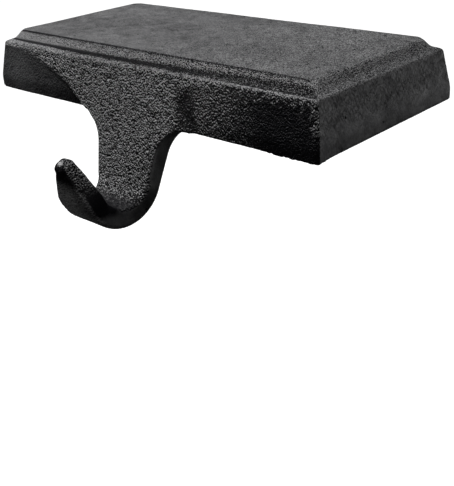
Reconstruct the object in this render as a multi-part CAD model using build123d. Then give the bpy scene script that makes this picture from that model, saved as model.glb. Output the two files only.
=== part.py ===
# A mantel stocking holder: one iron casting with a moulded plinth that lies on the shelf,
# a flared apron on its front face, and a leg that runs down from it into a tapering hook.
# The origin is the middle of the flat underside. +X runs along the plinth, -Y is the front
# with the hook, and +Z is up. All lengths are in millimetres and angles in degrees.
import os
from math import cos, pi, radians, sin, sqrt, tan

from build123d import *

os.makedirs("parts", exist_ok=True)

# Plinth
base_length = 130.0
base_width = 63.0
foot_height = 3.5        # upright band at the bottom of the sides
ledge_height = 14.6      # outer edge of the ledge round the top
side_lean = 2.0          # how far the sides lean in between the band and the ledge
ledge_width = 2.2        # ledge, seen from above
ledge_rise = 0.8         # the ledge climbs a little towards the middle
step_width = 2.0         # hollow step from the ledge up to the top face
step_rise = 2.8
corner_round = 0.8       # corners of the plinth, seen from above
top_corner_round = 2.2   # corners of the top face
foot_round = 12.0        # soft change from the upright band to the leaning side
ledge_round = 0.9        # outer edge of the ledge
step_hollow = 1.6        # hollow corner between the ledge and the step
crest_round = 0.8        # edge of the top face

# Leg and hook
leg_lean = 16.4          # front face of the leg, from upright
root_thickness = 6.6
waist_thickness = 5.4    # where the leg turns into the hook
bowl_thickness = 6.1     # in the middle of the bend
shoulder_thickness = 6.1  # where the rising end starts to taper
tip_thickness = 5.0
root_width = 27.4        # leg at the underside, without its root fillets
waist_width = 22.2
bowl_width = 17.5
shoulder_width = 13.8
tip_width = 4.8
side_round = 8.0         # root fillet at the leg's sides
side_turn = 52.0         # how far the side fillets turn before they run straight to the underside
back_round = 3.0         # root fillet at the leg's back
root_bury = 1.0          # length of the leg inside the plinth
throat_radius = 6.0      # inside of the hook
hook_drop = 27.1         # underside of the plinth to the lowest point of the hook
rise_lean = 22.6         # rising end of the hook, from upright
shoulder_rise = 2.8      # straight run of the rising end below the shoulder
tip_depth = 3.7          # underside of the plinth to the top of the tip
tip_length = 2.2         # domed end of the tip
edge_round = 1.3         # edges of the leg, the hook and the apron
edge_limit = 0.36        # largest edge round, as a share of the thickness

# Apron, the flared root of the leg on the plinth's front face
apron_top = 13.4         # height where the leg's face runs out into the front face
apron_bury = 0.4         # height of the apron above that, inside the plinth
apron_depth = 4.0        # depth of the apron behind the leg's face
left_knee_reach = 31.0   # leg's axis to the bend in the left flank
left_knee_height = 7.4
left_knee_round = 40.0
left_flare = 54.0        # reach of the left flank under the ledge
left_spread = 2.0        # how far the left flank spreads over the apron's depth
right_knee_reach = 16.6
right_knee_height = 11.2
right_knee_round = 6.0
right_flare = 34.0
right_spread = 13.0

# Sections in each lofted curve
round_steps = 4
root_steps = 5
hook_steps = 4           # from one set size of the hook to the next
tip_steps = 5

# Derived places
top_inset = side_lean + ledge_width + step_width
step_foot = ledge_height + ledge_rise
top_height = step_foot + step_rise
front_lean = side_lean / (ledge_height - foot_height)
front_at_apron = front_lean * (apron_top - foot_height) - base_width / 2
leg_slope = tan(radians(leg_lean))
leg_face = front_at_apron - apron_top * leg_slope
fillet_depth = side_round * (1 - sin(radians(side_turn)))
fillet_reach = side_round * (1 - cos(radians(side_turn))) + fillet_depth * tan(radians(side_turn))
root_reach = root_width / 2 + fillet_reach
throat_height = bowl_thickness + throat_radius - hook_drop
waist_depth = throat_radius * sin(radians(leg_lean)) - throat_height


def plinth_corner(inset):
    """Corner radius of the plinth's outline, which grows over the moulding to the top face."""
    share = max(inset - side_lean, 0) / (top_inset - side_lean)
    return corner_round + (top_corner_round - corner_round) * share


def moulded_plinth():
    """Rounded rectangles stacked up the profile of the moulded edge."""
    profile = FilletPolyline(
        (0, 0),
        (0, foot_height),
        (side_lean, ledge_height),
        (side_lean + ledge_width, step_foot),
        (top_inset, top_height),
        (top_inset + top_corner_round, top_height),
        radius=[foot_round, ledge_round, step_hollow, crest_round],
    )
    levels = [profile @ 0]
    for edge in profile.edges().sort_by(profile)[:-1]:
        steps = 1 if edge.geom_type == GeomType.LINE else round_steps
        levels += [edge @ (step / steps) for step in range(1, steps + 1)]
    outlines = []
    for level in levels:
        size = (base_length - 2 * level.X, base_width - 2 * level.X)
        outlines.append(Plane.XY.offset(level.Y) * RectangleRounded(*size, plinth_corner(level.X)))
    return loft(outlines, ruled=True)


def apron_flank(side, knee_reach, knee_height, knee_round, flare, spread):
    """One flank of the apron, from below the underside past its knee to the top."""
    foot_reach = root_reach + (root_reach - knee_reach) * apron_depth / knee_height
    return FilletPolyline(
        (side * (foot_reach + spread), -apron_depth),
        (side * (knee_reach + spread), knee_height),
        (side * (flare + spread), (apron_top + apron_bury) / cos(radians(leg_lean))),
        radius=knee_round,
    )


def apron_outline(setback):
    """The apron's outline at a depth behind the leg's face."""
    share = setback / apron_depth
    left = apron_flank(
        -1, left_knee_reach, left_knee_height, left_knee_round, left_flare, left_spread * share
    )
    right = apron_flank(
        1, right_knee_reach, right_knee_height, right_knee_round, right_flare, right_spread * share
    )
    ends = [Line(left @ 0, right @ 0), Line(left @ 1, right @ 1)]
    lean = radians(leg_lean)
    face = Plane((0, leg_face, 0), x_dir=(1, 0, 0), z_dir=(0, -cos(lean), sin(lean)))
    return face.offset(-setback) * make_face([*left.edges(), *right.edges(), *ends])


def apron():
    """The flared pad, with soft front edges, cut level with the underside."""
    pad = loft([apron_outline(0), apron_outline(apron_depth)], ruled=True)
    front_edges = pad.faces().sort_by(Axis.Y)[0].edges().sort_by(Axis.Z)
    pad = fillet(front_edges[1:-1], edge_round)
    below = Pos(0, 0, -base_width) * Box(2 * base_length, 2 * base_width, 2 * base_width)
    return pad - below


def leg_section(height, reach):
    """A level section of the leg, with its sides at a reach either side of the axis."""
    depth = max(-height, 0)
    back_reach = max(back_round - depth, 0)
    thickness = root_thickness + (waist_thickness - root_thickness) * depth / waist_depth
    run = thickness / cos(radians(leg_lean)) + back_round - sqrt(back_round**2 - back_reach**2)
    front = leg_face + height * leg_slope
    plane = Plane((0, front + run / 2, height), x_dir=(1, 0, 0), z_dir=(0, 0, -1))
    return plane * RectangleRounded(2 * reach, run, edge_round)


def hook_section(line, run, width, thickness, dome=1.0):
    """A section of the hook, square to its inner line and standing outside it."""
    inner = line @ (run / line.length)
    ahead = line % (run / line.length)
    centre = inner + Vector(-ahead.Y, ahead.X) * thickness / 2
    plane = Plane((0, centre.X, centre.Y), x_dir=(1, 0, 0), z_dir=(0, ahead.X, ahead.Y))
    corner = min(edge_round, edge_limit * thickness)
    return plane * RectangleRounded(width * dome, thickness * dome, corner * dome)


def leg(waist):
    """The leg from inside the plinth down to the waist, with its root fillets."""
    sections = [leg_section(root_bury, root_reach - root_bury), leg_section(0, root_reach)]
    for step in range(root_steps + 1):
        turn = radians(side_turn) * (1 - step / root_steps)
        depth = side_round * (1 - sin(turn))
        side = (root_width + (waist_width - root_width) * depth / waist_depth) / 2
        sections.append(leg_section(-depth, side + side_round * (1 - cos(turn))))
    return loft([*sections, waist], ruled=True)


def leg_and_hook():
    """The leg, the hook up to its neck, and the domed tip."""
    leg_end = Vector(leg_face - waist_depth * leg_slope, -waist_depth)
    down = Vector(-sin(radians(leg_lean)), -cos(radians(leg_lean)))
    bowl = JernArc(leg_end, down, throat_radius, leg_lean + rise_lean - 180)
    rise_length = (-tip_depth - (bowl @ 1).Y) / cos(radians(rise_lean))
    inside = Wire([bowl, Line(bowl @ 1, bowl @ 1 + rise_length * (bowl % 1))])

    neck_run = inside.length - tip_length
    stations = [
        (0, waist_width, waist_thickness),
        (bowl.length / 2, bowl_width, bowl_thickness),
        (bowl.length + shoulder_rise, shoulder_width, shoulder_thickness),
        (neck_run, tip_width, tip_thickness),
    ]
    hook_sections = [hook_section(inside, *stations[0])]
    for station, following in zip(stations, stations[1:]):
        for step in range(1, hook_steps + 1):
            between = [a + (b - a) * step / hook_steps for a, b in zip(station, following)]
            hook_sections.append(hook_section(inside, *between))

    tip_sections = [hook_sections[-1]]
    for step in range(1, tip_steps):
        turn = pi / 2 * step / tip_steps
        run = neck_run + tip_length * sin(turn)
        tip_sections.append(hook_section(inside, run, tip_width, tip_thickness, cos(turn)))
    return leg(hook_sections[0]), loft(hook_sections), loft(tip_sections, ruled=True)


if __name__ == "__main__":
    casting = moulded_plinth() + apron()
    for piece in leg_and_hook():
        casting += piece
    export_step(casting, "parts/holder_casting.step")
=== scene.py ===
import math
from types import SimpleNamespace

import bpy
import numpy as np
from mathutils import Matrix, Vector, noise


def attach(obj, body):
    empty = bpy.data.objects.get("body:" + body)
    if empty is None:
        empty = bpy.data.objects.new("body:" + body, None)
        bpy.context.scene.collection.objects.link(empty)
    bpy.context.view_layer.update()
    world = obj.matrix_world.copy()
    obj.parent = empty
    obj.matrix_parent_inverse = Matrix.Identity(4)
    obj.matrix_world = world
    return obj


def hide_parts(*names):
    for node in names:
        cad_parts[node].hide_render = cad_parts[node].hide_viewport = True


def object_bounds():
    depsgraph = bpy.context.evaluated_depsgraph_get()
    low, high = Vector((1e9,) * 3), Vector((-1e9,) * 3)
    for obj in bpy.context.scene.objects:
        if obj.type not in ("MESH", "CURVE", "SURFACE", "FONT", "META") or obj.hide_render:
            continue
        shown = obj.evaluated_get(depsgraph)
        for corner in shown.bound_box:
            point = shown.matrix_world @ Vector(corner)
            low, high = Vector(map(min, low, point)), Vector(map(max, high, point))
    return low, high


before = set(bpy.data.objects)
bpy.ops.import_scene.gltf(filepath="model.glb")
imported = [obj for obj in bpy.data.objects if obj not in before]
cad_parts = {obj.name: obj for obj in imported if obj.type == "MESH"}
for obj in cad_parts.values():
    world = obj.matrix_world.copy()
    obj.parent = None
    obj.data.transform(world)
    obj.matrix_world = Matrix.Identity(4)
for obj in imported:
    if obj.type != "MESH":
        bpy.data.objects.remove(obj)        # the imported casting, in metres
cadLow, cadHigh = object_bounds()
mm = 0.001
print("frame loaded:", sorted(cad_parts))


# small helpers

def pickOnly(piece):
    bpy.ops.object.select_all(action="DESELECT")
    piece.select_set(True)
    bpy.context.view_layer.objects.active = piece


def applyModifier(piece, kind, **settings):
    modifier = piece.modifiers.new(kind.lower(), kind)
    for name, value in settings.items():
        setattr(modifier, name, value)
    bpy.ops.object.modifier_apply(modifier=modifier.name)


def ramp(values, start, end):        # eases from 0 at start to 1 at end
    share = np.clip((values - start) / (end - start), 0.0, 1.0)
    return share * share * (3.0 - 2.0 * share)


def band(values, low, high, soft):        # 1 between low and high
    return ramp(values, low - soft, low + soft) * (1.0 - ramp(values, high - soft, high + soft))


def blend(first, last, share):        # first at 0 and last at 1
    return first + (last - first) * share


# the casting's fine mesh

castingForm = {
    "node": "holder_casting",
    "name": "iron_holder",
    "mergeGap": 0.002 * mm,
    "voxel": 0.75 * mm,
    "fineBack": -23.0,        # y in mm, faces in front of this are divided once more
    "undersideSkin": 0.3,        # z in mm, and the flat underside isn't divided
    "smoothTurns": 2,
    "smoothShare": 0.35,
    "fadeLength": (-58, -24, 3),        # upper left of the apron in mm: low, high and softness
    "fadeHeight": (5.5, 13.6, 1),
    "fadeFront": (28.5, 29.5),        # start and end of the change
    "fadeTurns": 24,
    "fadeShare": 0.5,
    "leastWeight": 0.004,        # weaker vertices stay out of a group
}


def readSurface(mesh):
    points = np.empty(len(mesh.vertices) * 3)
    normals = np.empty(len(mesh.vertices) * 3)
    mesh.vertices.foreach_get("co", points)
    mesh.vertex_normals.foreach_get("vector", normals)
    return points.reshape(-1, 3), normals.reshape(-1, 3)


def addGroup(piece, name, weights):
    group = piece.vertex_groups.new(name=name)
    for place in np.nonzero(weights > castingForm["leastWeight"])[0]:
        group.add([int(place)], float(weights[place]), "REPLACE")


def divideFront(piece):        # finer faces where the sand grain is coarse
    skin = castingForm["undersideSkin"]
    bpy.context.tool_settings.mesh_select_mode = (False, False, True)
    bpy.ops.object.mode_set(mode="EDIT")
    bpy.ops.mesh.select_all(action="DESELECT")
    bpy.ops.object.mode_set(mode="OBJECT")
    for face in piece.data.polygons:
        y, z = face.center.yz / mm
        face.select = (y < castingForm["fineBack"] and z > skin) or z < -skin
    bpy.ops.object.mode_set(mode="EDIT")
    bpy.ops.mesh.subdivide(number_cuts=1)
    bpy.ops.object.mode_set(mode="OBJECT")


def fadeApron(piece):        # the apron's left flank melts into the front
    form = castingForm
    x, y, z = readSurface(piece.data)[0].T / mm
    fade = band(x, *form["fadeLength"]) * band(z, *form["fadeHeight"]) * ramp(-y, *form["fadeFront"])
    addGroup(piece, "apronFade", fade)
    applyModifier(
        piece, "SMOOTH", factor=form["fadeShare"], iterations=form["fadeTurns"], vertex_group="apronFade",
    )
    piece.vertex_groups.clear()


def copyCasting():
    form = castingForm
    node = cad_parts[form["node"]]
    piece = bpy.data.objects.new(form["name"], node.data.copy())
    bpy.context.scene.collection.objects.link(piece)
    pickOnly(piece)
    bpy.ops.object.mode_set(mode="EDIT")
    bpy.ops.mesh.select_all(action="SELECT")
    bpy.ops.mesh.remove_doubles(threshold=form["mergeGap"])
    bpy.ops.object.mode_set(mode="OBJECT")
    applyModifier(piece, "REMESH", mode="VOXEL", voxel_size=form["voxel"], adaptivity=0.0)
    divideFront(piece)
    applyModifier(piece, "SHRINKWRAP", wrap_method="NEAREST_SURFACEPOINT", target=node)
    applyModifier(piece, "SMOOTH", factor=form["smoothShare"], iterations=form["smoothTurns"])
    fadeApron(piece)
    piece.data.materials.clear()
    print("casting skin:", len(piece.data.polygons), "faces")
    return piece


# zones of the casting's skin, as weights at every vertex
# lengths in mm, normals as parts of 1; two numbers are where a change starts and ends, unless a note
# says otherwise, and three are low, high and softness

skinForm = {
    "legLean": math.radians(16.4),
    "legFace": -33.66,        # y of the leg's face at the underside
    "mitre": (-0.5, 0.5),        # between the front's moulding and the ends'
    "aboveFoot": (-0.2, 0.4),
    "crumbSize": 1.3,        # crumbs along the edges of the sandy zones
}


def measureSkin(mesh):        # where each vertex lies on the casting
    points, normals = readSurface(mesh)
    at = SimpleNamespace()
    at.x, at.y, at.z = points.T / mm
    at.normalX, at.normalY, at.normalZ = normals.T
    sine = math.sin(skinForm["legLean"])
    cosine = math.cos(skinForm["legLean"])
    at.depth = (at.y - skinForm["legFace"]) * cosine - at.z * sine        # behind the leg's face
    at.facing = at.normalZ * sine - at.normalY * cosine        # 1 where the skin lies along that face
    at.endInset = cadHigh[0] / mm - np.abs(at.x)        # in from the foot's outline
    at.sideInset = cadHigh[1] / mm - np.abs(at.y)
    at.inset = np.minimum(at.endInset, at.sideInset)
    at.frontSide = ramp(at.endInset - at.sideInset, *skinForm["mitre"]) * (at.y < 0)
    at.above = ramp(at.z, *skinForm["aboveFoot"])
    at.below = 1 - at.above
    crumbSize = skinForm["crumbSize"] * mm
    at.crumbs = np.array([noise.noise(Vector(point) / crumbSize) for point in points])        # about -1 to 1
    return at


mouldingForm = {
    "ledgeInset": 2.0,        # outer edge of the ledge, in from the foot's outline
    "hollowInset": 4.2,
    "crestInset": 6.2,
    "height": (14.0, 14.6),
    "topSide": (-0.2, 0.3),        # from the crest
    "topHeight": (17.0, 17.8),
    "stepSide": (-0.2, 0.5),        # from the hollow
    "crestSide": (-0.45, 0.1, 0.2),        # from the crest
    "crestHeight": (17.0, 17.5),
    "edgeOut": 0.5,        # worn paint and painted highlight on the edge of the front's ledge, outwards from the ledge
    "edgeIn": (1.3, 0.4),        # inwards, at the left and right
    "edgeLeft": (-62, -15),
    "edgeSoft": 0.25,
    "edgeStart": (13.3, 14.1),        # height at the left and right
    "edgeEnd": (13.9, 14.5),
    "edgeRight": (-30, 40),
    "edgeWear": 0.8,
    "edgeCrumbs": 1.3,
    "hollowStart": 0.6,        # width of the change from the worn edge
    "hollowTop": (-0.3, 0.6),        # from the hollow, at the left and right
    "hollowRight": (-30, 60),
    "hollowEnd": (-0.5, 0.7),
}


def mouldingZones(at, zone):
    form = mouldingForm
    fromCrest = at.inset - form["crestInset"]
    fromHollow = at.inset - form["hollowInset"]
    fromLedge = at.inset - form["ledgeInset"]
    zone.moulding = ramp(at.z, *form["height"])
    zone.top = ramp(fromCrest, *form["topSide"]) * ramp(at.z, *form["topHeight"])
    zone.step = zone.moulding * ramp(fromHollow, *form["stepSide"]) * (1 - zone.top)
    zone.sideLedge = zone.moulding * (1 - zone.step) * (1 - zone.top) * (1 - at.frontSide)
    zone.crest = band(fromCrest, *form["crestSide"]) * ramp(at.z, *form["crestHeight"])

    # the front's ledge is painted pale along its edge, as worn paint and a painted highlight, less to the
    # right, where the painted shade in the hollow widens
    edgeIn = blend(*form["edgeIn"], ramp(at.x, *form["edgeLeft"]))
    toRight = ramp(at.x, *form["edgeRight"])
    edgeHeight = ramp(at.z, blend(*form["edgeStart"], toRight), blend(*form["edgeEnd"], toRight))
    edgeWear = np.clip(form["edgeWear"] + form["edgeCrumbs"] * at.crumbs, 0, 1)
    zone.ledgeEdge = band(fromLedge, -form["edgeOut"], edgeIn, form["edgeSoft"]) * at.frontSide
    zone.ledgeEdge = zone.ledgeEdge * edgeWear * edgeHeight
    # the hollow under the step is painted dark as painted shade, wider towards the right
    fromTop = fromHollow - blend(*form["hollowTop"], ramp(at.x, *form["hollowRight"]))
    zone.hollow = zone.moulding * ramp(fromLedge, edgeIn, edgeIn + form["hollowStart"])
    zone.hollow = zone.hollow * (1 - ramp(fromTop, *form["hollowEnd"]))


frontForm = {
    "leftHeights": (0.0, 7.4, 10.8, 13.8),
    "leftFlank": (-19.0, -31.0, -39.7, -52.0),        # x of the apron's left flank at those heights
    "rightHeights": (0.0, 11.2, 13.8),
    "rightFlank": (19.0, 16.6, 34.0),
    "forward": (27, 28),        # how far the front lies before the middle
    "frontNormal": (0.2, 0.45),
    "frontTop": (14.2, 14.7),
    "rimSide": (-1.5, 0.8, 0.8),        # crumbled rim of the left flank
    "rimHeight": (1, 12, 1),
    "rimCrumbs": 1.6,
    "fading": (1.2, 7.2),        # softness of the left flank, low down and high up
    "fadingHeight": (6, 12),
    "leftSide": (-0.6, 1.0),        # in widths of the fading
    "rightSide": (-0.5, 0.8),
    "apronNormal": (0.45, 0.70),
    "legNormal": (0.80, 0.93),
    "faceDepth": (0.6, 1.1),
    "flankSide": (0.5, 7.0, 1.8),
    "flankTop": (8, 13),
    "foldSide": (0.0, 3.0, 1.0),
    "foldTop": (2, 7),
    "farRight": (20, 52),
    "ledgeShadow": (11.5, 14),
    "ledgeRight": (10, 40),
    "ledgeCrumbs": 4,
    "sideLean": 0.18,        # how much the sides lean in over the foot
    "footHeight": 3.5,
    "cornerEnd": (0.5, 2.0),        # worn upright edge at the near corner
    "cornerSide": (0.3, 0.8),
    "cornerHeight": (7, 13.5, 2),
    "cornerCrumbs": 2.5,
}


def frontZones(at, zone):
    form = frontForm
    forward = ramp(-at.y, *form["forward"])
    leftOfApron = np.interp(at.z, form["leftHeights"], form["leftFlank"]) - at.x
    rightOfApron = at.x - np.interp(at.z, form["rightHeights"], form["rightFlank"])
    zone.apronEdge = band(leftOfApron, *form["rimSide"]) * band(at.z, *form["rimHeight"]) * forward

    # the leg's face, which runs up over the apron
    leftOfApron = leftOfApron + form["rimCrumbs"] * at.crumbs
    fading = blend(*form["fading"], ramp(at.z, *form["fadingHeight"]))
    onApron = 1 - ramp(leftOfApron / fading, *form["leftSide"])
    onApron = onApron * (1 - ramp(rightOfApron, *form["rightSide"])) * ramp(at.facing, *form["apronNormal"])
    zone.onLeg = np.where(at.z > 0, onApron, ramp(at.facing, *form["legNormal"]))
    zone.onLeg = zone.onLeg * (1 - ramp(at.depth, *form["faceDepth"]))

    # the plinth's front beside it
    zone.baseFront = ramp(-at.normalY, *form["frontNormal"]) * at.above * forward
    zone.baseFront = zone.baseFront * (1 - ramp(at.z, *form["frontTop"]))
    zone.plainFront = zone.baseFront * (1 - zone.onLeg)
    zone.leftEnd = zone.plainFront * (at.x < 0)
    # painted shade: the front is painted darker towards its right end, where the light falls off along it
    zone.farRight = zone.plainFront * ramp(at.x, *form["farRight"])
    # the apron's right flank and the front beside it are painted dark, as the apron's painted shadow
    zone.flank = band(rightOfApron, *form["flankSide"]) * at.above * forward
    zone.flank = zone.flank * (1 - ramp(at.z, *form["flankTop"]))
    # painted shade in the crease left of the apron, low down
    zone.fold = zone.baseFront * band(leftOfApron, *form["foldSide"]) * (1 - ramp(at.z, *form["foldTop"]))
    zone.underLedge = ramp(at.z + form["ledgeCrumbs"] * at.crumbs, *form["ledgeShadow"])
    zone.underLedge = zone.plainFront * zone.underLedge * ramp(at.x, *form["ledgeRight"])

    leanIn = form["sideLean"] * np.maximum(at.z - form["footHeight"], 0)
    fromEnd = at.endInset - leanIn + form["cornerCrumbs"] * at.crumbs
    zone.nearEdge = (1 - ramp(fromEnd, *form["cornerEnd"])) * (at.x > 0)
    zone.nearEdge = zone.nearEdge * (1 - ramp(at.sideInset - leanIn, *form["cornerSide"])) * (at.y < 0)
    zone.nearEdge = zone.nearEdge * band(at.z, *form["cornerHeight"])


hookForm = {
    "lowLeft": (-12, 2),
    "bend": (-44.33, -15.0),        # y and z of the middle of the bend
    "throatNormal": (0.2, 0.5),
    "throatDepth": (14, 17),
    "throatFront": (38.5, 43),
    "bowlDepth": (15.5, 20),
    "riseFront": (45, 47.5),
    "riseNormal": (0.1, 0.5),
    "darkFront": (43, 49),
    "darkHeight": (-24, -19),
    "outsideTop": (-15, -9),
    "outsideRight": (-5, 7),
    "outsideWear": (1.0, 0.2),        # painted light on the outside face, at the left and right
    "tipHeight": (-15.5, -6.5),
    "tipSpot": (0.2, -58.45, -5.1),        # painted highlight on the tip's end
    "spotRadius": (0.4, 1.2),
}


def hookZones(at, zone):
    form = hookForm
    zone.lowLeg = zone.onLeg * at.below
    zone.lowLeft = zone.lowLeg * (1 - ramp(at.x, *form["lowLeft"]))
    zone.bowl = at.below * ramp(-at.z, *form["bowlDepth"])
    zone.rise = at.below * ramp(-at.y, *form["riseFront"])
    # painted shade on the rise's side and inner faces in the bend
    zone.darkRise = at.below * ramp(-at.y, *form["darkFront"]) * ramp(at.z, *form["darkHeight"])
    outward = ramp(-at.normalY, *form["riseNormal"])
    # the hook's outside face is painted pale as painted light, darker towards the ridge
    zone.hookOutside = zone.rise * outward * (1 - ramp(at.z, *form["outsideTop"]))
    zone.hookOutside = zone.hookOutside * blend(*form["outsideWear"], ramp(at.x, *form["outsideRight"]))
    zone.tip = zone.rise * (1 - outward) * ramp(at.z, *form["tipHeight"])        # grained again up there
    spotX, spotY, spotZ = form["tipSpot"]
    fromSpot = np.sqrt((at.x - spotX) ** 2 + (at.y - spotY) ** 2 + (at.z - spotZ) ** 2)
    # painted highlight on the tip
    zone.tipSpot = 1 - ramp(fromSpot, *form["spotRadius"])

    # the throat is the skin that faces the middle of the bend
    across = at.y - form["bend"][0]
    along = at.z - form["bend"][1]
    inward = -(at.normalY * across + at.normalZ * along) / np.hypot(across, along)
    zone.throat = at.below * (1 - zone.rise) * ramp(inward, *form["throatNormal"])
    zone.throat = zone.throat * ramp(-at.z, *form["throatDepth"])
    # the throat, and most of all its floor, is painted darker as painted shade in the bend
    zone.throatFloor = zone.throat * ramp(-at.y, *form["throatFront"])


sideForm = {
    "underNormal": (0.8, 0.95),
    "underHeight": (-0.3, 0.3, 0.2),
    "footBottom": -0.3,
    "footTop": (0.4, 2.0),
    "footSide": (0.6, 2.0),
    "cornerRight": (44, 56),
    "cornerFront": (26, 30),
    "ragged": (0.10, 1.0),        # away from the near corner and at it
    "streakRight": (60, 63),
    "streakHeight": (4, 9),
    "streaks": (0.3, 1.0),        # on the hidden sides and on the near end
}


def sideZones(at, zone):
    form = sideForm
    under = ramp(-at.normalZ, *form["underNormal"]) * band(at.z, *form["underHeight"])
    zone.skin = (1 - under) * (1 - zone.top)
    zone.sides = at.above * (1 - zone.moulding) * (1 - zone.baseFront)
    onEnd = ramp(at.x, *form["streakRight"]) * ramp(at.z, *form["streakHeight"])
    zone.streaks = zone.sides * blend(*form["streaks"], onEnd)
    foot = (1 - ramp(at.z, *form["footTop"])) * (at.z > form["footBottom"])
    foot = foot * (1 - ramp(at.inset, *form["footSide"]))
    nearCorner = ramp(at.x, *form["cornerRight"]) * ramp(-at.y, *form["cornerFront"])
    zone.ragged = foot * blend(*form["ragged"], nearCorner)


sandForm = {        # share of the full sand grain, and where along x it changes
    "frontEnd": (1.0, 0.18),        # at the front's middle and right end
    "step": (0.12, 0.92),        # at the left and right
    "stepAcross": (-50, 10),
    "stepUnderHollow": 0.5,
    "hollow": (0.45, 0.80),
    "hollowAcross": (0, 50),
    "top": (0.05, 0.20),
    "topAcross": (-20, 50),
    "throat": 0.7,
    "throatFloor": 0.6,        # less than in the throat
    "sideStep": 0.35,
    "sideLedge": 0.2,
    "lowOnMoulding": 0.7,        # how much lower the grains stand
    "lowOnFront": 0.4,
}
# zones that lose a share of their grain, and then zones that have at least a share of it
sandLost = {"leftEnd": 0.95, "flank": 0.6, "lowLeft": 0.6, "crest": 0.8, "bowl": 0.9, "rise": 0.9}
sandKept = {"ledgeEdge": 0.9, "nearEdge": 1.0, "tip": 0.8, "hookOutside": 0.5, "underLedge": 0.6}


def sandZones(at, zone):
    form = sandForm
    onHollow = zone.hollow * blend(*form["hollow"], ramp(at.x, *form["hollowAcross"]))
    onStep = np.maximum(zone.step * (1 - form["stepUnderHollow"] * zone.hollow), onHollow)
    onStep = onStep * at.frontSide * blend(*form["step"], ramp(at.x, *form["stepAcross"]))
    onFront = zone.baseFront * blend(*form["frontEnd"], zone.farRight)
    sand = np.clip(zone.onLeg + onFront + onStep, 0, 1)
    for name, share in sandLost.items():
        sand = sand * (1 - share * vars(zone)[name])
    for name, share in sandKept.items():
        sand = np.maximum(sand, share * vars(zone)[name])
    sand = np.maximum(sand, form["throat"] * zone.throat - form["throatFloor"] * zone.throatFloor)
    sand = np.maximum(sand, zone.top * blend(*form["top"], ramp(at.x, *form["topAcross"])))
    onSides = form["sideStep"] * zone.step + form["sideLedge"] * zone.sideLedge
    zone.sand = np.maximum(sand, onSides * (1 - at.frontSide))
    zone.grit = zone.sand * (1 - form["lowOnMoulding"] * zone.moulding)
    zone.grit = zone.grit * (1 - form["lowOnFront"] * zone.plainFront)


ironShade = {        # grey of the paint, from black at 0 to worn grey at 1, which also serves for painted highlights; below 0 its grains stay dark too. Painted shade: the front's right end, the crease and flank beside the apron, the step's right end, the hollow, the throat, its floor and the rise. Painted light: the far sides, the leg's sides, the ledge's edge, the hook's outside, the tip and the top's right
    "leg": 0.17, "legLeft": 0.23, "legRight": 0.11, "legSide": 0.34, "front": 0.03, "frontEnd": -0.34,
    "nearEdge": 0.27, "underLedge": -0.04, "leftEnd": 0.065, "fold": 0.05, "flank": -0.26,
    "sideStep": 0.34, "sideLedge": 0.22, "step": 0.31, "stepEnd": 0.29, "hollow": -0.45, "hollowEnd": -0.26,
    "ledgeEdge": 0.90, "ledgeEnd": 0.66, "crest": -0.06, "bowl": 0.14, "throat": 0.14, "throatFloor": -0.02,
    "rise": -0.05, "hookOutside": 0.88, "tip": 0.20, "tipSpot": 0.55,
    "top": 0.21, "topRight": 0.285, "side": 0.21, "sideFar": 0.30,
}
shadeForm = {
    "sideBack": (-20, 30),
    "legAcross": (3, 10),
    "legNormal": (0.6, 0.8),
    "stepAcross": (5, 60),
    "hollowAcross": (-10, 40),
    "hollowSides": (0.1, 1.0),        # on the other sides and on the front
    "ledgeAcross": (-10, 60),
    "topAcross": (-20, 50),
}


def shadeZones(at, zone):
    form = shadeForm
    frontStep = zone.step * at.frontSide
    frontHollow = zone.hollow * at.frontSide
    weights = {        # from the first coat to the last
        # painted light: the sides painted lighter towards the back, towards the back lamp
        "sideFar": zone.sides * ramp(at.y, *form["sideBack"]),
        "leg": zone.onLeg,
        "legLeft": zone.lowLeft,
        "legRight": zone.lowLeg * ramp(at.x, *form["legAcross"]),
        # painted light: the leg's and hook's side faces painted paler, for light that doesn't reach them
        "legSide": at.below * ramp(np.abs(at.normalX), *form["legNormal"]),
        "front": zone.plainFront,
        # painted shade at the front's right end
        "frontEnd": zone.farRight,
        "leftEnd": zone.leftEnd,
        # painted shade in the crease left of the apron
        "fold": zone.fold,
        # painted shadow of the apron on its right flank
        "flank": zone.flank,
        "underLedge": zone.underLedge,
        "nearEdge": zone.nearEdge,
        "sideLedge": zone.sideLedge,
        "sideStep": zone.step,
        "step": frontStep,
        # painted shade: the step darker towards the right, where the light falls off
        "stepEnd": frontStep * ramp(at.x, *form["stepAcross"]),
        # painted shade in the hollow, less dark but wider at its right end
        "hollow": zone.hollow * blend(*form["hollowSides"], at.frontSide),
        "hollowEnd": frontHollow * ramp(at.x, *form["hollowAcross"]),
        # worn paint and a painted highlight on the ledge's edge, dimmer towards the right
        "ledgeEdge": zone.ledgeEdge,
        "ledgeEnd": zone.ledgeEdge * ramp(at.x, *form["ledgeAcross"]),
        "crest": zone.crest * at.frontSide,
        "bowl": zone.bowl,
        # painted shade in the throat and on its floor
        "throat": zone.throat,
        "throatFloor": zone.throatFloor,
        # painted shade on the rise
        "rise": zone.darkRise,
        # painted light on the hook's outside face
        "hookOutside": zone.hookOutside,
        "tip": zone.tip,
        # painted highlight on the tip
        "tipSpot": zone.tipSpot,
        "top": zone.top,
        # painted light: the top painted lighter towards the right, to make up for the darker lighting there
        "topRight": zone.top * ramp(at.x, *form["topAcross"]),
    }
    zone.shade = np.full(len(at.x), ironShade["side"])
    for name, weight in weights.items():
        zone.shade = blend(zone.shade, ironShade[name], weight)


def surfaceZones(mesh):
    at = measureSkin(mesh)
    zone = SimpleNamespace()
    mouldingZones(at, zone)
    frontZones(at, zone)
    hookZones(at, zone)
    sideZones(at, zone)
    sandZones(at, zone)
    shadeZones(at, zone)
    print("zones found:", len(vars(zone)))
    return vars(zone)


# sand-cast relief

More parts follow.
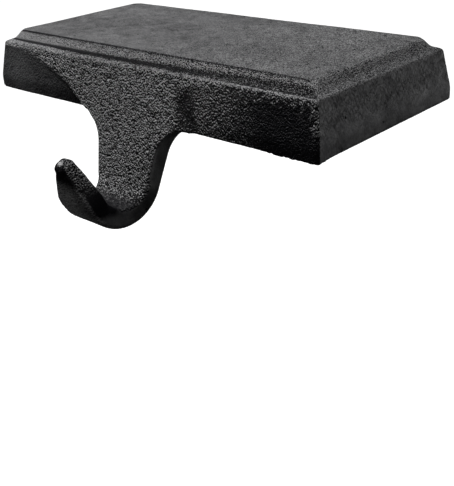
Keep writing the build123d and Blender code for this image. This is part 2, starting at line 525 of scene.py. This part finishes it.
castingRelief = {
    "castWave": {"zone": "skin", "grain": 20 * mm, "rounds": 1, "lift": 0.40 * mm, "middle": 0.5},
    "topWave": {"zone": "top", "grain": 16 * mm, "rounds": 1, "lift": 0.20 * mm, "middle": 0.8},
    "topMottle": {"zone": "top", "grain": 2.6 * mm, "rounds": 2, "lift": 0.09 * mm, "middle": 0.8},
    "sideDents": {"zone": "sides", "grain": 3.4 * mm, "rounds": 2, "lift": 0.22 * mm, "middle": 0.5},
    "sandLumps": {"zone": "grit", "grain": 1.8 * mm, "rounds": 1, "lift": 0.25 * mm, "middle": 0.5},
    "sandGrain": {"zone": "grit", "grain": 0.85 * mm, "rounds": 1, "lift": 0.40 * mm, "middle": 0.5},
}
raggedEdges = {
    "raggedFoot": {"zone": "ragged", "way": "Z", "grain": 0.9 * mm, "lift": 1.0 * mm, "middle": 0.8},
    "raggedApron": {"zone": "apronEdge", "way": "X", "grain": 1.2 * mm, "lift": 2.0 * mm, "middle": 0.5},
}
reliefSpan = 0.30 * mm        # rise between the pits and the peaks, for the finish
finishAttributes = ("sand", "shade", "relief", "streaks", "moulding")


def pressClouds(piece, layers, zones, basis):
    for name, layer in layers.items():
        if layer["zone"] not in piece.vertex_groups:
            addGroup(piece, layer["zone"], zones[layer["zone"]])
        cloud = bpy.data.textures.new(name, "CLOUDS")
        cloud.noise_basis = basis
        cloud.noise_scale = layer["grain"]
        cloud.noise_depth = layer.get("rounds", 1)
        applyModifier(
            piece, "DISPLACE", texture=cloud, texture_coords="LOCAL", vertex_group=layer["zone"],
            direction=layer.get("way", "NORMAL"), strength=layer["lift"], mid_level=layer["middle"],
        )


def pressRelief(piece, zones):
    flat, normals = readSurface(piece.data)
    pressClouds(piece, castingRelief, zones, "IMPROVED_PERLIN")
    rise = ((readSurface(piece.data)[0] - flat) * normals).sum(axis=1)
    pressClouds(piece, raggedEdges, zones, "BLENDER_ORIGINAL")
    points = np.clip(readSurface(piece.data)[0], cadLow, cadHigh)        # never outside the casting's own box
    piece.data.vertices.foreach_set("co", points.ravel())
    piece.data.update()
    piece.vertex_groups.clear()
    zones["relief"] = rise / reliefSpan
    for name in finishAttributes:
        piece.data.attributes.new(name, "FLOAT", "POINT").data.foreach_set("value", zones[name])
    pickOnly(piece)
    bpy.ops.object.shade_smooth()
    print("relief pressed")


# black cast iron

ironFinish = {
    "slot": "black_cast_iron",
    "blackPaint": (0.0035, 0.0034, 0.0042, 1),
    "wornGrey": (0.400, 0.400, 0.404, 1),
    "pebbleSize": 0.50 * mm,
    "lumpSize": 1.5 * mm,
    "lumpShare": 0.35,        # beside the pebbles
    "sandSize": 0.34 * mm,
    "mouldingFineness": 1.6,        # how much finer the sand is on the moulding
    "mouldingStart": 0.5,        # weight of the moulding where that begins
    "clumpSize": 1.8 * mm,
    "fineSize": 0.30 * mm,
    "fineShare": 0.5,        # beside the sand grain
    "mottleSize": 3.4 * mm,
    "mottleDetail": 3.0,
    "mottleSpan": (-0.2, 0.2),
    "streakSize": (0.8 * mm, 0.8 * mm, 2.6 * mm),
    "pitSpacing": 7.0 * mm,
    "pitRadius": 0.055,        # in pit spacings
    "wearShift": (0, 0, 0.30 * mm),        # grains are painted paler on their upper sides and darker below, as painted light from above
    "sandContrast": 0.8,
    "wearContrast": 2.6,
    "clumpContrast": 0.43,
    "reliefContrast": 0.18,
    "skinContrast": 1.45,
    "skinGrain": 0.16,        # sand grain beside the mottle of the smooth skin
    "pitContrast": 0.25,
    "sandRoughness": (0.22, 0.30),
    "smoothRoughness": 0.12,        # added on the smooth skin
    "mouldingRoughness": 0.3,        # and on the moulding
    "sandBump": 1.0,
    "skinBump": 0.04,
    "streakBump": 1.0,
    "pitBump": 0.5,
    "bumpDepth": 1.5 * mm,
    "specularLevel": 0.05,
}


def addNode(tree, kind, inputs=None, **settings):
    node = tree.nodes.new(kind)
    for name, value in settings.items():
        setattr(node, name, value)
    for name, value in (inputs or {}).items():
        if isinstance(value, bpy.types.NodeSocket):
            tree.links.new(value, node.inputs[name])
        else:
            node.inputs[name].default_value = value
    return node


def mathNode(tree, operation, first, second, clamp=False):
    node = addNode(tree, "ShaderNodeMath", {0: first, 1: second}, operation=operation, use_clamp=clamp)
    return node.outputs[0]


def addUp(tree, first, *others):
    for other in others:
        first = mathNode(tree, "ADD", first, other)
    return first


def scaled(tree, value, setting):
    return mathNode(tree, "MULTIPLY", value, ironFinish[setting])


def rangeNode(tree, value, fromSpan, toSpan):
    (low, high), (toLow, toHigh) = fromSpan, toSpan
    node = addNode(
        tree, "ShaderNodeMapRange",
        {"Value": value, "From Min": low, "From Max": high, "To Min": toLow, "To Max": toHigh},
    )
    return node.outputs[0]


def attributeNode(tree, name):
    return addNode(tree, "ShaderNodeAttribute", attribute_name=name).outputs["Fac"]


def noiseNode(tree, place, size, detail=2.0, roughness=0.6):        # about -0.5 to 0.5
    cloud = addNode(
        tree, "ShaderNodeTexNoise",
        {"Vector": place, "Scale": 1 / size, "Detail": detail, "Roughness": roughness},
    )
    return mathNode(tree, "SUBTRACT", cloud.outputs["Fac"], 0.5)


def cellNode(tree, place, size):        # distance to the middle of the nearest cell, in cell sizes
    cells = addNode(tree, "ShaderNodeTexVoronoi", {"Vector": place, "Scale": 1 / size}, feature="F1")
    return cells.outputs["Distance"]


def pebbleNode(tree, place, size):        # rounded grains, about 0.5 at their tops and -0.4 in the pits
    return mathNode(tree, "SUBTRACT", 0.5, cellNode(tree, place, size))


def pitNode(tree, place):        # 1 inside small round pits
    radius = ironFinish["pitRadius"]
    return rangeNode(tree, cellNode(tree, place, ironFinish["pitSpacing"]), (radius, radius / 2), (0.0, 1.0))


def sandNode(tree, place):        # height of the sand grain, about -1 to 1
    pebbles = pebbleNode(tree, place, ironFinish["pebbleSize"])
    grit = noiseNode(tree, place, ironFinish["sandSize"])
    lumps = scaled(tree, pebbleNode(tree, place, ironFinish["lumpSize"]), "lumpShare")
    return addUp(tree, pebbles, grit, lumps)


def streakNode(tree, place):        # upright streaks, from a cloud in streak sizes
    scale = tuple(1 / size for size in ironFinish["streakSize"])
    stretched = addNode(tree, "ShaderNodeMapping", {"Vector": place, "Scale": scale}).outputs[0]
    return noiseNode(tree, stretched, 1.0)


def blackIron():
    material = bpy.data.materials.new("black_iron")
    material.use_nodes = True
    tree = material.node_tree
    tree.nodes.clear()
    place = addNode(tree, "ShaderNodeTexCoord").outputs["Object"]
    sand = attributeNode(tree, "sand")
    smooth = mathNode(tree, "SUBTRACT", 1.0, sand)
    shade = attributeNode(tree, "shade")
    onMoulding = attributeNode(tree, "moulding")
    relief = attributeNode(tree, "relief")

    # the sand turns finer on the moulding in one sharp step, because a soft one would smear the grain
    atMoulding = mathNode(tree, "GREATER_THAN", onMoulding, ironFinish["mouldingStart"])
    finer = rangeNode(tree, atMoulding, (0.0, 1.0), (1.0, ironFinish["mouldingFineness"]))
    finePlace = addNode(tree, "ShaderNodeVectorMath", {0: place, "Scale": finer}, operation="SCALE")
    sandPlace = finePlace.outputs[0]
    grain = sandNode(tree, sandPlace)
    # a copy of the grain lifted upwards; the difference paints each grain pale on top and dark below, a
    # painted light from above
    lifted = addNode(tree, "ShaderNodeVectorMath", {0: sandPlace, 1: ironFinish["wearShift"]}).outputs[0]
    wear = mathNode(tree, "SUBTRACT", grain, sandNode(tree, lifted))
    clump = noiseNode(tree, place, ironFinish["clumpSize"])
    fine = noiseNode(tree, place, ironFinish["fineSize"])
    mottle = noiseNode(tree, place, ironFinish["mottleSize"], detail=ironFinish["mottleDetail"])
    pits = pitNode(tree, place)
    streak = mathNode(tree, "MULTIPLY", streakNode(tree, place), attributeNode(tree, "streaks"))

    # grey level: the grains' peaks are painted grey, as worn paint and a painted highlight, and the pits stay
    # black, as painted shade
    grains = addUp(
        tree, scaled(tree, grain, "sandContrast"), scaled(tree, clump, "clumpContrast"),
        scaled(tree, wear, "wearContrast"),
    )
    skin = addUp(tree, mottle, scaled(tree, grain, "skinGrain"))
    skin = mathNode(tree, "MULTIPLY", mathNode(tree, "MULTIPLY", skin, smooth), shade)
    level = addUp(
        tree, mathNode(tree, "MULTIPLY", grains, sand), scaled(tree, relief, "reliefContrast"),
        scaled(tree, skin, "skinContrast"),
    )
    # small pits are painted darker, as painted shade
    level = mathNode(tree, "SUBTRACT", level, scaled(tree, pits, "pitContrast"))
    level = mathNode(tree, "ADD", level, shade, clamp=True)
    colour = addNode(
        tree, "ShaderNodeMix",
        {"Factor": level, 6: ironFinish["blackPaint"], 7: ironFinish["wornGrey"]},        # its two colours
        data_type="RGBA",
    )

    roughness = addUp(
        tree, rangeNode(tree, mottle, ironFinish["mottleSpan"], ironFinish["sandRoughness"]),
        scaled(tree, smooth, "smoothRoughness"), scaled(tree, onMoulding, "mouldingRoughness"),
    )

    # bump: coarse grain on the sandy faces, a fine skin all over, small pits, and streaks down the sides
    rough = addUp(tree, grain, scaled(tree, fine, "fineShare"))
    amount = addUp(tree, scaled(tree, sand, "sandBump"), ironFinish["skinBump"])
    height = addUp(tree, mathNode(tree, "MULTIPLY", rough, amount), scaled(tree, streak, "streakBump"))
    height = mathNode(tree, "SUBTRACT", height, scaled(tree, pits, "pitBump"))
    bump = addNode(
        tree, "ShaderNodeBump", {"Strength": 1.0, "Distance": ironFinish["bumpDepth"], "Height": height},
    )

    shader = addNode(
        tree, "ShaderNodeBsdfPrincipled",
        {
            "Base Color": colour.outputs[2],
            "Roughness": roughness,
            "Normal": bump.outputs[0],
            "Specular IOR Level": ironFinish["specularLevel"],
        },
    )
    addNode(tree, "ShaderNodeOutputMaterial", {"Surface": shader.outputs[0]})
    print("finish made:", material.name)
    return material


holder = copyCasting()
pressRelief(holder, surfaceZones(holder.data))
holder.data.materials.append(blackIron())
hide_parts(castingForm["node"])
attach(holder, "root")
print("casting dressed")


# floor that curves up all round and glows white

floorForm = {        # in metres
    "height": -0.22,
    "flatRadius": 0.9,
    "rimRadius": 0.5,
    "rimSteps": 10,
    "corners": 96,
    "wall": 3.0,
    "colour": (0.30, 0.30, 0.30, 1),
    "roughness": 0.9,
    "glowColour": (1, 1, 1, 1),
    "glow": 1.0,
}


def raiseRim():        # the open edge goes up a quarter turn and then straight up
    rim = floorForm["rimRadius"]
    radius = floorForm["flatRadius"]
    turn = math.pi / 2 / floorForm["rimSteps"]
    for step in range(floorForm["rimSteps"]):
        out = rim * (math.sin((step + 1) * turn) - math.sin(step * turn))
        up = rim * (math.cos(step * turn) - math.cos((step + 1) * turn))
        bpy.ops.mesh.extrude_edges_move(TRANSFORM_OT_translate={"value": (0, 0, up)})
        grow = (radius + out) / radius
        bpy.ops.transform.resize(value=(grow, grow, 1))
        radius += out
    bpy.ops.mesh.extrude_edges_move(TRANSFORM_OT_translate={"value": (0, 0, floorForm["wall"])})


def paleFloor():
    bpy.ops.object.select_all(action="DESELECT")
    bpy.ops.mesh.primitive_circle_add(
        vertices=floorForm["corners"], radius=floorForm["flatRadius"], fill_type="NGON",
        location=(0, 0, floorForm["height"]),
    )
    floor = bpy.context.object
    floor.name = "pale_floor"
    bpy.ops.object.mode_set(mode="EDIT")
    bpy.ops.mesh.select_all(action="SELECT")
    bpy.ops.mesh.region_to_loop()
    raiseRim()
    bpy.ops.mesh.select_all(action="SELECT")
    bpy.ops.mesh.normals_make_consistent(inside=True)
    bpy.ops.object.mode_set(mode="OBJECT")
    bpy.ops.object.transform_apply(location=True, rotation=True, scale=True)
    bpy.ops.object.shade_smooth()
    material = bpy.data.materials.new("pale_paper")
    material.use_nodes = True
    shader = material.node_tree.nodes["Principled BSDF"]
    shader.inputs["Base Color"].default_value = floorForm["colour"]
    shader.inputs["Roughness"].default_value = floorForm["roughness"]
    shader.inputs["Emission Color"].default_value = floorForm["glowColour"]
    shader.inputs["Emission Strength"].default_value = floorForm["glow"]
    floor.data.materials.append(material)
    floor.visible_diffuse = False        # the floor throws no light back up
    floor.visible_glossy = False


paleFloor()
print("floor laid")


# soft studio light

studioLights = [        # in metres and watts
    {"name": "overhead", "place": (0.12, -0.02, 0.70), "aim": (0.02, 0, 0), "size": 0.2, "power": 2.6},
    {"name": "key", "place": (-0.30, -0.08, 0.55), "aim": (0, 0, 0), "size": 0.3, "power": 7.15},
    {"name": "rightBack", "place": (0.60, 0.35, 0.35), "aim": (0.03, 0, 0), "size": 0.5, "power": 1.2},
    {"name": "rightFront", "place": (0.50, -0.45, 0.15), "aim": (0, -0.03, 0), "size": 0.4, "power": 0.4},
    {"name": "frontLow", "place": (-0.40, -0.50, 0.03), "aim": (0, -0.03, 0), "size": 0.4, "power": 0.3},
]
studioSky = {"colour": (1, 1, 1, 1), "strength": 0.01}


def lightStudio():
    for form in studioLights:
        lamp = bpy.data.lights.new(form["name"], "AREA")
        lamp.shape = "DISK"
        lamp.size = form["size"]
        lamp.energy = form["power"]
        light = bpy.data.objects.new(form["name"], lamp)
        bpy.context.scene.collection.objects.link(light)
        light.location = form["place"]
        beam = Vector(form["aim"]) - Vector(form["place"])
        light.rotation_euler = beam.to_track_quat("-Z", "Y").to_euler()
        light.visible_camera = False
    world = bpy.data.worlds.new("studio")
    bpy.context.scene.world = world
    world.use_nodes = True
    sky = world.node_tree.nodes["Background"]
    sky.inputs["Color"].default_value = studioSky["colour"]
    sky.inputs["Strength"].default_value = studioSky["strength"]
    bpy.context.scene.view_settings.view_transform = "Standard"


lightStudio()
print("lights set")


# camera, at the photograph's own angle

cameraForm = {
    "place": (171.061 * mm, -174.784 * mm, 69.093 * mm),
    "azimuth": math.radians(43.761),
    "elevation": math.radians(26.452),
    "roll": math.radians(-3.393),
    "lens": 63.99,
    "sensor": 36.0,
    "nearest": 10 * mm,
}


def setCamera():
    shot = bpy.data.cameras.new("shot")
    shot.sensor_fit = "HORIZONTAL"
    shot.sensor_width = cameraForm["sensor"]
    shot.lens = cameraForm["lens"]
    shot.clip_start = cameraForm["nearest"]
    camera = bpy.data.objects.new("shot", shot)
    bpy.context.scene.collection.objects.link(camera)
    turn = (
        Matrix.Rotation(cameraForm["azimuth"], 4, "Z")
        @ Matrix.Rotation(math.pi / 2 - cameraForm["elevation"], 4, "X")
        @ Matrix.Rotation(cameraForm["roll"], 4, "Z")
    )
    camera.matrix_world = Matrix.Translation(cameraForm["place"]) @ turn
    bpy.context.scene.camera = camera


setCamera()
print("camera set")
